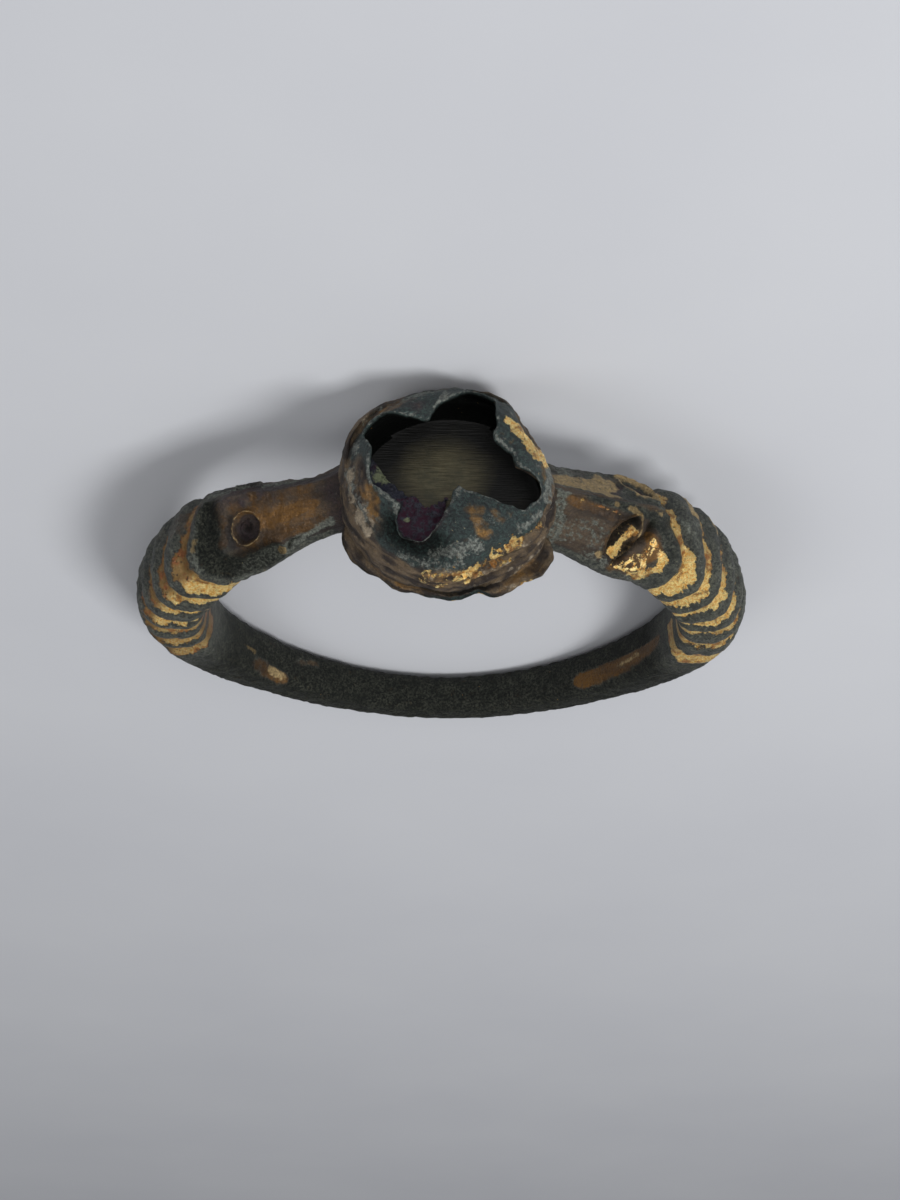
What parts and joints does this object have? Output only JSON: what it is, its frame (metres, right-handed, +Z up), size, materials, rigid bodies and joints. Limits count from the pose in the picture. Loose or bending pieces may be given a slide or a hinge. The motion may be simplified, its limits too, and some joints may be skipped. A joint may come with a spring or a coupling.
{
  "type": "finger ring",
  "caption": "Worn gilt metal finger ring: animal heads on ribbed necks grip an empty round bezel with a crushed, torn lip.",
  "frame": {"origin": "on the floor, under the middle of the outline of the ring as it lies on its side", "axes": "+X runs across the finger hole towards the head on the picture's left, -Y runs towards the bezel, +Z is up, out of the face of the ring that the picture shows"},
  "size_m": [0.022, 0.0214, 0.0071],
  "materials": {
    "gilt_metal": "worn gilding over a dark green and brown patina",
    "old_paste": "dull, crumbling purple and blue paste"
  },
  "bodies": {
    "root": {"ring": "gilt_metal", "paste_remains": "old_paste"}
  },
  "joints": []
}
